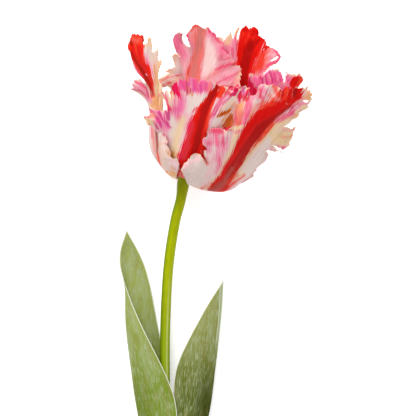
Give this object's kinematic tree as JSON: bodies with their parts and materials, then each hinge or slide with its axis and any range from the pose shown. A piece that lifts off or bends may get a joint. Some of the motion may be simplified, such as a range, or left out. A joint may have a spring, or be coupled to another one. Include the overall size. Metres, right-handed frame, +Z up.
{
  "type": "parrot tulip",
  "caption": "Cut parrot tulip lying on its back: ruffled, fringed bloom striped red, pink and cream, bare curved stem and folded grey-green leaves.",
  "frame": {"origin": "on the surface the flower lies on, under the centre of its box", "axes": "+Y along the stem from the cut end towards the bloom, +X towards the right side of the bloom seen from above with the bloom away from the viewer, +Z up from the surface"},
  "size_m": [0.1268, 0.4039, 0.0848],
  "materials": {
    "stem": "satin",
    "leaf": "satin",
    "petal_outer": "satin",
    "petal_inner": "satin",
    "pistil": "satin",
    "stamen": "matte"
  },
  "bodies": {
    "root": {"stem": "stem", "leaf_left": "leaf", "leaf_right": "leaf", "petal_front_right": "petal_outer", "petal_front": "petal_inner", "petal_left": "petal_outer", "petal_back_left": "petal_inner", "petal_back_right": "petal_outer", "petal_right": "petal_inner", "pistil": "pistil", "stamen_1": "stamen", "stamen_2": "stamen", "stamen_3": "stamen", "stamen_4": "stamen", "stamen_5": "stamen", "stamen_6": "stamen"}
  },
  "joints": []
}
